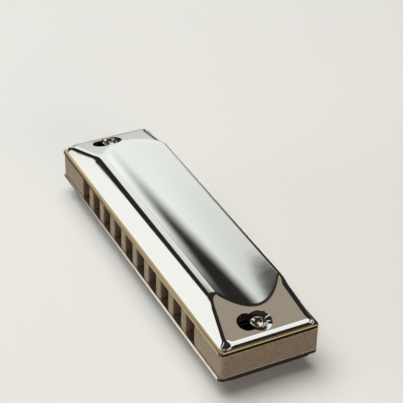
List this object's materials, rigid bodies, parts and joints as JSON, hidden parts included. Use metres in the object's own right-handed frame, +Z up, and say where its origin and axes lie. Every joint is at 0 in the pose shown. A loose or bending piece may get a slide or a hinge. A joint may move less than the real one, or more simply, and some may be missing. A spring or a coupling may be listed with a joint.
{
  "type": "diatonic harmonica",
  "caption": "Diatonic harmonica: a slotted comb between reed plates with sprung reeds, closed by pressed chrome covers with a hollow top and sloping ends.",
  "frame": {"origin": "middle of the footprint, on the surface that the lower cover's two ridges rest on", "axes": "+X along the row of holes from hole 1 (lowest note) to hole 10, -Y out of the mouthpiece, +Z up towards the blow reed plate"},
  "size_m": [0.1014, 0.0276, 0.0192],
  "materials": {
    "chrome": "mirror-polished chrome plating on pressed sheet",
    "comb_metal": "fine sandblasted, warm grey, satin",
    "plate_brass": "lightly polished brass",
    "reed_brass": "brass strip, satin",
    "rivet_brass": "brass, turned",
    "steel": "nickel-plated steel",
    "screw_steel": "polished nickel-plated steel"
  },
  "bodies": {
    "body": {"comb": "comb_metal", "upper_reed_plate": "plate_brass", "lower_reed_plate": "plate_brass", "upper_cover": "chrome", "lower_cover": "chrome", "cover_screw_left": "screw_steel", "cover_screw_right": "screw_steel", "cover_nut_left": "steel", "cover_nut_right": "steel", "reed_plate_screw_1": "steel", "reed_plate_screw_2": "steel", "reed_plate_screw_3": "steel", "reed_plate_screw_4": "steel", "reed_plate_screw_5": "steel", "reed_plate_screw_6": "steel", "reed_plate_screw_7": "steel", "reed_plate_screw_8": "steel", "blow_rivet_01": "rivet_brass", "blow_rivet_02": "rivet_brass", "blow_rivet_03": "rivet_brass", "blow_rivet_04": "rivet_brass", "blow_rivet_05": "rivet_brass", "blow_rivet_06": "rivet_brass", "blow_rivet_07": "rivet_brass", "blow_rivet_08": "rivet_brass", "blow_rivet_09": "rivet_brass", "blow_rivet_10": "rivet_brass", "draw_rivet_01": "rivet_brass", "draw_rivet_02": "rivet_brass", "draw_rivet_03": "rivet_brass", "draw_rivet_04": "rivet_brass", "draw_rivet_05": "rivet_brass", "draw_rivet_06": "rivet_brass", "draw_rivet_07": "rivet_brass", "draw_rivet_08": "rivet_brass", "draw_rivet_09": "rivet_brass", "draw_rivet_10": "rivet_brass"},
    "blow_reed_01": {"blow_reed_01": "reed_brass"},
    "blow_reed_02": {"blow_reed_02": "reed_brass"},
    "blow_reed_03": {"blow_reed_03": "reed_brass"},
    "blow_reed_04": {"blow_reed_04": "reed_brass"},
    "blow_reed_05": {"blow_reed_05": "reed_brass"},
    "blow_reed_06": {"blow_reed_06": "reed_brass"},
    "blow_reed_07": {"blow_reed_07": "reed_brass"},
    "blow_reed_08": {"blow_reed_08": "reed_brass"},
    "blow_reed_09": {"blow_reed_09": "reed_brass"},
    "blow_reed_10": {"blow_reed_10": "reed_brass"},
    "draw_reed_01": {"draw_reed_01": "reed_brass"},
    "draw_reed_02": {"draw_reed_02": "reed_brass"},
    "draw_reed_03": {"draw_reed_03": "reed_brass"},
    "draw_reed_04": {"draw_reed_04": "reed_brass"},
    "draw_reed_05": {"draw_reed_05": "reed_brass"},
    "draw_reed_06": {"draw_reed_06": "reed_brass"},
    "draw_reed_07": {"draw_reed_07": "reed_brass"},
    "draw_reed_08": {"draw_reed_08": "reed_brass"},
    "draw_reed_09": {"draw_reed_09": "reed_brass"},
    "draw_reed_10": {"draw_reed_10": "reed_brass"}
  },
  "joints": [
    {"name": "blow_reed_01_flex", "type": "hinge", "parent": "body", "child": "blow_reed_01", "pos_m": [-0.03375, 0.00465, 0.01256], "axis": [1, 0, 0], "range_deg": [-3, 3], "stiffness_Nm_per_rad": 0.0567},
    {"name": "blow_reed_02_flex", "type": "hinge", "parent": "body", "child": "blow_reed_02", "pos_m": [-0.02625, 0.00393, 0.01256], "axis": [1, 0, 0], "range_deg": [-3, 3], "stiffness_Nm_per_rad": 0.0582},
    {"name": "blow_reed_03_flex", "type": "hinge", "parent": "body", "child": "blow_reed_03", "pos_m": [-0.01875, 0.00321, 0.01256], "axis": [1, 0, 0], "range_deg": [-3, 3], "stiffness_Nm_per_rad": 0.06},
    {"name": "blow_reed_04_flex", "type": "hinge", "parent": "body", "child": "blow_reed_04", "pos_m": [-0.01125, 0.00248, 0.01256], "axis": [1, 0, 0], "range_deg": [-3, 3], "stiffness_Nm_per_rad": 0.0619},
    {"name": "blow_reed_05_flex", "type": "hinge", "parent": "body", "child": "blow_reed_05", "pos_m": [-0.00375, 0.00176, 0.01256], "axis": [1, 0, 0], "range_deg": [-3, 3], "stiffness_Nm_per_rad": 0.064},
    {"name": "blow_reed_06_flex", "type": "hinge", "parent": "body", "child": "blow_reed_06", "pos_m": [0.00375, 0.00104, 0.01256], "axis": [1, 0, 0], "range_deg": [-3, 3], "stiffness_Nm_per_rad": 0.0663},
    {"name": "blow_reed_07_flex", "type": "hinge", "parent": "body", "child": "blow_reed_07", "pos_m": [0.01125, 0.00032, 0.01256], "axis": [1, 0, 0], "range_deg": [-3, 3], "stiffness_Nm_per_rad": 0.069},
    {"name": "blow_reed_08_flex", "type": "hinge", "parent": "body", "child": "blow_reed_08", "pos_m": [0.01875, -0.00041, 0.01256], "axis": [1, 0, 0], "range_deg": [-3, 3], "stiffness_Nm_per_rad": 0.072},
    {"name": "blow_reed_09_flex", "type": "hinge", "parent": "body", "child": "blow_reed_09", "pos_m": [0.02625, -0.00113, 0.01256], "axis": [1, 0, 0], "range_deg": [-3, 3], "stiffness_Nm_per_rad": 0.0754},
    {"name": "blow_reed_10_flex", "type": "hinge", "parent": "body", "child": "blow_reed_10", "pos_m": [0.03375, -0.00185, 0.01256], "axis": [1, 0, 0], "range_deg": [-3, 3], "stiffness_Nm_per_rad": 0.0794},
    {"name": "draw_reed_01_flex", "type": "hinge", "parent": "body", "child": "draw_reed_01", "pos_m": [-0.03375, 0.00465, 0.00477], "axis": [1, 0, 0], "range_deg": [-3, 3], "stiffness_Nm_per_rad": 0.0567},
    {"name": "draw_reed_02_flex", "type": "hinge", "parent": "body", "child": "draw_reed_02", "pos_m": [-0.02625, 0.00393, 0.00477], "axis": [1, 0, 0], "range_deg": [-3, 3], "stiffness_Nm_per_rad": 0.0582},
    {"name": "draw_reed_03_flex", "type": "hinge", "parent": "body", "child": "draw_reed_03", "pos_m": [-0.01875, 0.00321, 0.00477], "axis": [1, 0, 0], "range_deg": [-3, 3], "stiffness_Nm_per_rad": 0.06},
    {"name": "draw_reed_04_flex", "type": "hinge", "parent": "body", "child": "draw_reed_04", "pos_m": [-0.01125, 0.00248, 0.00477], "axis": [1, 0, 0], "range_deg": [-3, 3], "stiffness_Nm_per_rad": 0.0619},
    {"name": "draw_reed_05_flex", "type": "hinge", "parent": "body", "child": "draw_reed_05", "pos_m": [-0.00375, 0.00176, 0.00477], "axis": [1, 0, 0], "range_deg": [-3, 3], "stiffness_Nm_per_rad": 0.064},
    {"name": "draw_reed_06_flex", "type": "hinge", "parent": "body", "child": "draw_reed_06", "pos_m": [0.00375, 0.00104, 0.00477], "axis": [1, 0, 0], "range_deg": [-3, 3], "stiffness_Nm_per_rad": 0.0663},
    {"name": "draw_reed_07_flex", "type": "hinge", "parent": "body", "child": "draw_reed_07", "pos_m": [0.01125, 0.00032, 0.00477], "axis": [1, 0, 0], "range_deg": [-3, 3], "stiffness_Nm_per_rad": 0.069},
    {"name": "draw_reed_08_flex", "type": "hinge", "parent": "body", "child": "draw_reed_08", "pos_m": [0.01875, -0.00041, 0.00477], "axis": [1, 0, 0], "range_deg": [-3, 3], "stiffness_Nm_per_rad": 0.072},
    {"name": "draw_reed_09_flex", "type": "hinge", "parent": "body", "child": "draw_reed_09", "pos_m": [0.02625, -0.00113, 0.00477], "axis": [1, 0, 0], "range_deg": [-3, 3], "stiffness_Nm_per_rad": 0.0754},
    {"name": "draw_reed_10_flex", "type": "hinge", "parent": "body", "child": "draw_reed_10", "pos_m": [0.03375, -0.00185, 0.00477], "axis": [1, 0, 0], "range_deg": [-3, 3], "stiffness_Nm_per_rad": 0.0794}
  ]
}
